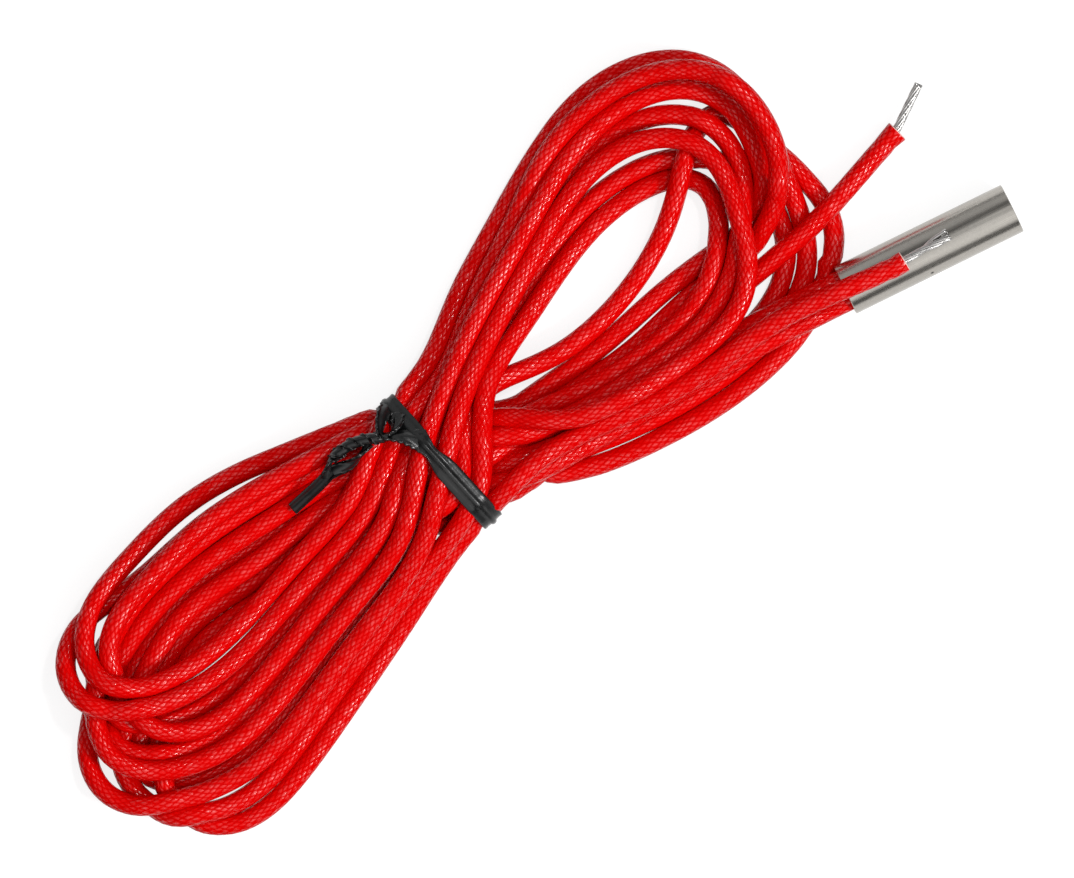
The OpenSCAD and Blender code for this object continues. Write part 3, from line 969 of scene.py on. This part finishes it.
# Magnesia is pressed and fired, which leaves an even, matt off-white.
ceramic = mottled("fired ceramic", "#E0DCD2", "#F0ECE4", 0.9, (0.6, 0.8), bump=0.01)
# The powder is packed by squeezing the tube, and its grains have no shine at all.
powder = mottled("packed magnesia powder", "#D8D4CC", "#ECE8E0", 2.5, (0.8, 0.95), bump=0.02)
# Resistance alloy is drawn through dies, so the wire is a smooth, dull grey metal.
wire = mottled("resistance wire", "#8A8480", "#A8A29C", 3.0, (0.3, 0.45), metallic=1.0, bump=0.002)
# The sleeve and the cut yarns at the end of the braid are fuzzy, and the dye makes them pink.
sleeve = mottled("pale inner sleeve", "#E2B4AC", "#F2D2CC", 1.8, (0.6, 0.8), bump=0.02)
# Cement is pressed in wet and dries dull and a little rough.
cement = mottled("cement in the mouth", "#CFC9BC", "#E4DFD4", 1.6, (0.7, 0.9), bump=0.03)
for made in (tinned, black, ceramic, powder, wire, sleeve, cement):
    print("Made", made.name)

# %% [markdown]
# Every piece rides the one body, stands for its solid and takes its finish.

# %% Pieces in the frame
CAD_FINISH = {"end_disc": steel, "base_insulator": ceramic, "ceramic_core": ceramic, "heating_coil": wire,
              "powder_fill": powder, "core_cap": ceramic, "lead_seal": cement, "conductor_a": tinned,
              "conductor_b": tinned}
for name, finish in CAD_FINISH.items():
    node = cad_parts[name]
    node.data.materials.clear()
    node.data.materials.append(finish)

PIECES = [
    (leads["a"], ["lead_a_root", "lead_hank", "lead_a_tail"], braid, "glass_braid"),
    (leads["b"], ["lead_b_root", "lead_b_tail"], braid, "glass_braid"),
    (tie, ["twist_tie"], black, "tie_plastic"),
    (tube_body, ["sheath"], steel, "stainless"),
    (tips["a"], ["lead_a_tip"], tinned, "tinned_copper"),
    (tips["b"], ["lead_b_tip"], tinned, "tinned_copper"),
]
for thing, nodes, finish, slot in PIECES:
    thing.data.materials.append(finish)
    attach(thing, "root")
    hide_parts(*nodes)

for lead in leads.values():
    lead.data.materials.append(sleeve)

# %% [markdown]
# The studio's table is a large sheet of card. A white one would light the undersides of the strands too
# much, so the card is grey by itself, and is lifted to paper white for the rays that see it. It still
# darkens under the hank.

# %% Table
TABLE_HALF = 1.5
# The brightness that lifts the card to paper white.
LIFT = 0.82
table_mesh = bpy.data.meshes.new("table")
corners = [(x * TABLE_HALF, y * TABLE_HALF, 0) for x, y in ((-1, -1), (1, -1), (1, 1), (-1, 1))]
table_mesh.from_pydata(corners, [], [(0, 1, 2, 3)])
table = bpy.data.objects.new("table", table_mesh)
bpy.context.collection.objects.link(table)


def white_card():
    """A matt grey card, slightly clouded. Camera, glossy and transmission rays see it lifted to white."""
    material, tree = blank("white card")
    position = add(tree, "TexCoord", {}, out="Object")
    cloud = add(tree, "TexNoise", {"Vector": position, "Scale": 0.04 / MM})
    tone = add(tree, "Mix", {0: cloud, 6: linear("#8C8C8C"), 7: linear("#949494")},
               out=2, data_type="RGBA")
    card = add(tree, "BsdfDiffuse", {"Color": tone})
    rays = add(tree, "LightPath", {}).node
    seen = rays.outputs["Is Camera Ray"]
    for kind in ("Is Glossy Ray", "Is Transmission Ray"):
        seen = add(tree, "Math", {0: seen, 1: rays.outputs[kind]}, operation="MAXIMUM")
    lift = add(tree, "Math", {0: seen, 1: LIFT}, operation="MULTIPLY")
    glow = add(tree, "Emission", {"Color": linear("#FFFFFF"), "Strength": lift})
    close(tree, add(tree, "AddShader", {0: card, 1: glow}))
    return material


table_mesh.materials.append(white_card())
print("The table is", 2 * TABLE_HALF, "m square")

# %% [markdown]
# Three long soft lamps lie along the tube, to the south, overhead and to the north, and the tube shows
# them as bright bands with darker gaps between them. The small key lamp shades the strands' far sides,
# and the glint lamp, smaller still, gives the varnish its broken sparkle. One big lamp would be
# simpler, but it would leave the tube and the braid flat.

# %% Lamps
LAMP_AIM = (-0.05, 0.0, 0.0)
ROOM_LIGHT = 0.1


def lamp(name, lean, swing, distance, width, length, radiance):
    """A soft lamp aimed at the hank, leant so many degrees east and swung north. Sizes are in metres."""
    data = bpy.data.lights.new(name, "AREA")
    data.shape = "RECTANGLE"
    data.size = length
    data.size_y = width
    data.energy = radiance * math.pi * width * length
    thing = bpy.data.objects.new(name, data)
    towards = Vector((math.tan(math.radians(lean)), math.tan(math.radians(swing)), 1.0)).normalized()
    thing.location = Vector(LAMP_AIM) + distance * towards
    thing.rotation_euler = towards.to_track_quat("Z", "Y").to_euler()
    bpy.context.collection.objects.link(thing)


# Lean, swing, distance, width, length and brightness of each lamp.
LAMPS = {
    "south lamp": (0.0, -34.0, 2.6, 2.54, 6.0, 1.05),
    "overhead lamp": (0.0, 4.0, 3.0, 1.24, 6.0, 0.55),
    "north lamp": (0.0, 62.0, 2.4, 1.6, 6.0, 0.52),
    "key lamp": (34.0, -38.0, 2.8, 0.5, 0.5, 50.0),
    "glint lamp": (24.0, 8.0, 2.8, 0.2, 0.2, 140.0),
}
for name, settings in LAMPS.items():
    lamp(name, *settings)
print(len(LAMPS), "lamps")
world = bpy.data.worlds.new("dim room")
world.use_nodes = True
background = world.node_tree.nodes["Background"]
background.inputs["Color"].default_value = linear("#FFFFFF")
background.inputs["Strength"].default_value = ROOM_LIGHT
bpy.context.scene.world = world
bpy.context.scene.view_settings.view_transform = "Standard"
